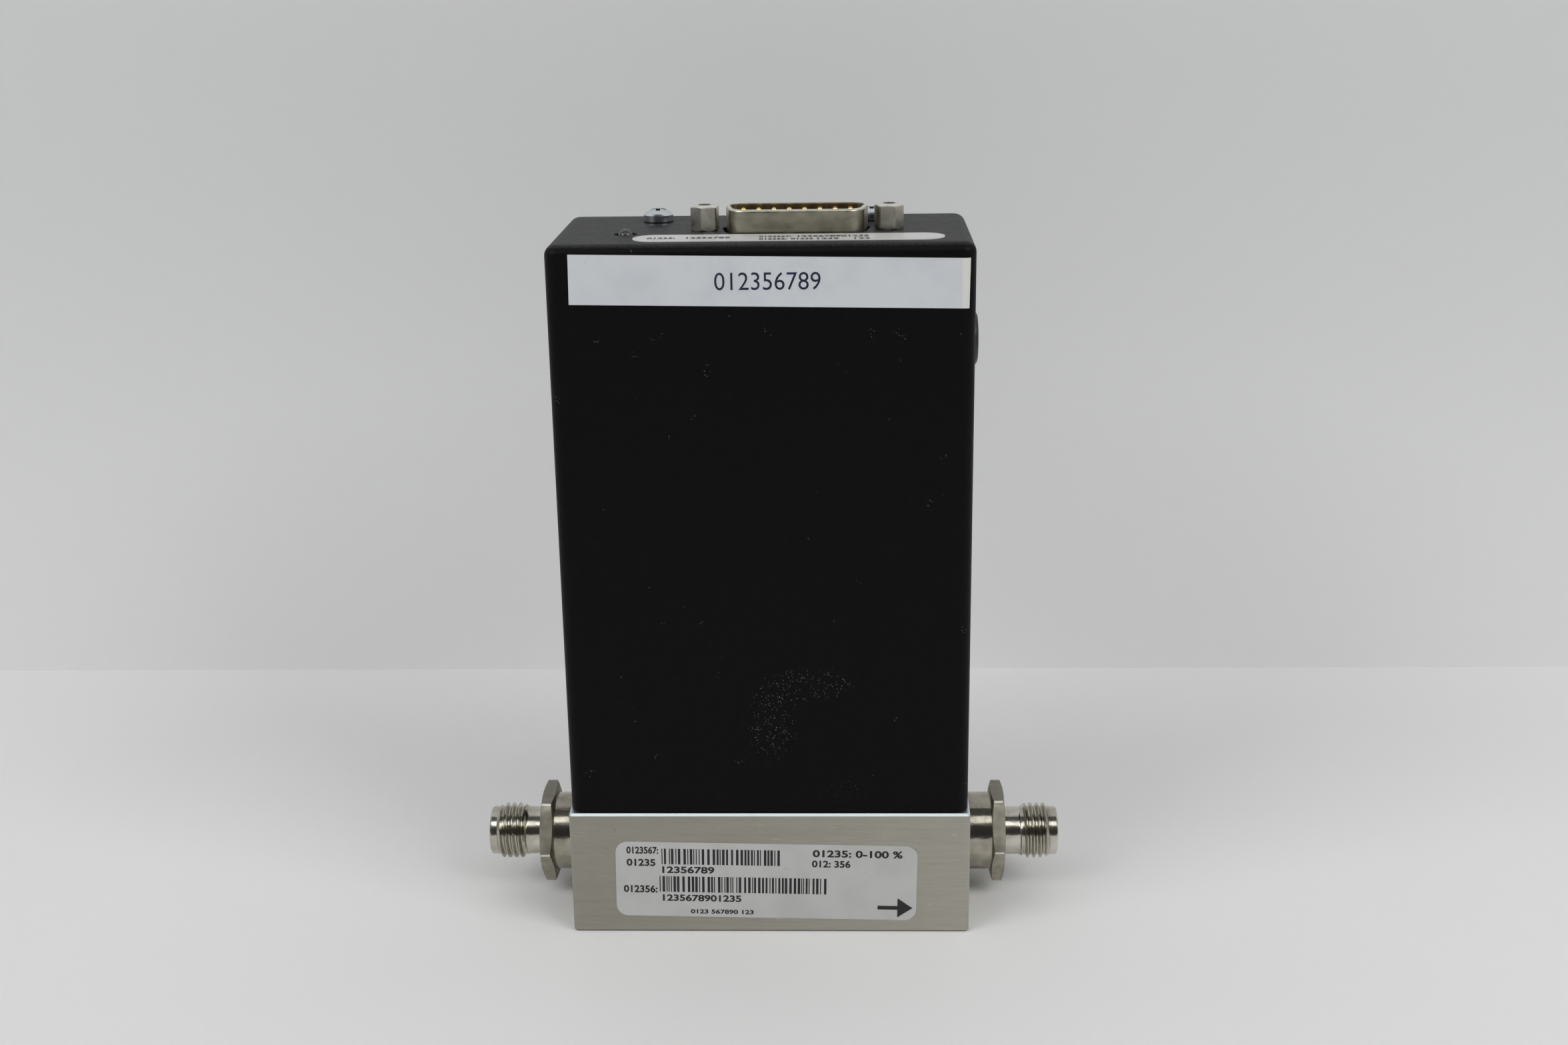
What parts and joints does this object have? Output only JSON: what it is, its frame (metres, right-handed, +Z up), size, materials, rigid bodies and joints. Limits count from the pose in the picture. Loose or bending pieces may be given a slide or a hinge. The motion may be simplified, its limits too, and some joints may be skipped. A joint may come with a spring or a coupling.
{
  "type": "mass flow meter",
  "caption": "In-line gas flow meter: steel flow block with two tube fittings, and a tall narrow black cover with a plug-in connector on top.",
  "frame": {"origin": "centre of the flow block's bottom face, which the meter stands on", "axes": "+X along the flow from inlet to outlet, -Y towards the labelled front, +Z up"},
  "size_m": [0.113, 0.0383, 0.1376],
  "materials": {
    "block_steel": "fine straight grain, satin",
    "fitting_steel": "turned, bright, with a dull hexagon",
    "seal_rubber": "matt",
    "inner_steel": "machined",
    "spring_steel": "dark, oiled",
    "winding_wire": "enamelled wire under a thin coat of varnish",
    "sensor_aluminium": "machined, clear finish",
    "screw_steel": "bright socket head screws",
    "ribbon_film": "amber film",
    "frame_sheet": "folded sheet, mill finish",
    "plated_nut": "zinc plated",
    "board_green": "glass-fibre board with a green mask",
    "chip_black": "moulded, matt",
    "capacitor_can": "drawn can",
    "plug_nylon": "natural nylon",
    "trimmer_blue": "moulded",
    "header_black": "moulded",
    "contact_gold": "gold plated",
    "shell_tin": "tin plated drawn steel, satin",
    "insulator_black": "moulded",
    "jackscrew_nickel": "nickel plated",
    "clear_lens": "clear epoxy",
    "cover_black": "fine matt powder coat",
    "cover_screw_zinc": "bright zinc plated",
    "plug_black": "moulded nylon",
    "label_white": "printed film, satin"
  },
  "bodies": {
    "root": {"flow_block": "block_steel", "inlet_fitting": "fitting_steel", "outlet_fitting": "fitting_steel", "inlet_seal": "seal_rubber", "outlet_seal": "seal_rubber", "flow_element": "inner_steel", "element_clip": "spring_steel", "sensor_base": "inner_steel", "tap_seals": "seal_rubber", "sensor_tube": "inner_steel", "sensor_windings": "winding_wire", "sensor_can": "sensor_aluminium", "sensor_screws": "screw_steel", "sensor_ribbon": "ribbon_film", "frame": "frame_sheet", "frame_screws": "screw_steel", "flange_nuts": "plated_nut", "standoffs": "plated_nut", "main_board": "board_green", "board_screws": "screw_steel", "board_chips": "chip_black", "board_capacitors": "capacitor_can", "ribbon_plug": "plug_nylon", "zero_trimmer": "trimmer_blue", "link_header": "header_black", "link_pins": "contact_gold", "connector_board": "board_green", "connector_shell": "shell_tin", "connector_rear_shell": "shell_tin", "connector_insulator": "insulator_black", "connector_pins": "contact_gold", "jackscrews": "jackscrew_nickel", "jack_nuts": "plated_nut", "status_led": "clear_lens", "led_leads": "plated_nut", "led_spacer": "plug_nylon", "cover": "cover_black", "cover_screws": "cover_screw_zinc", "hole_plug": "plug_black", "front_tape": "label_white", "rating_label": "label_white", "top_label": "label_white"}
  },
  "joints": []
}
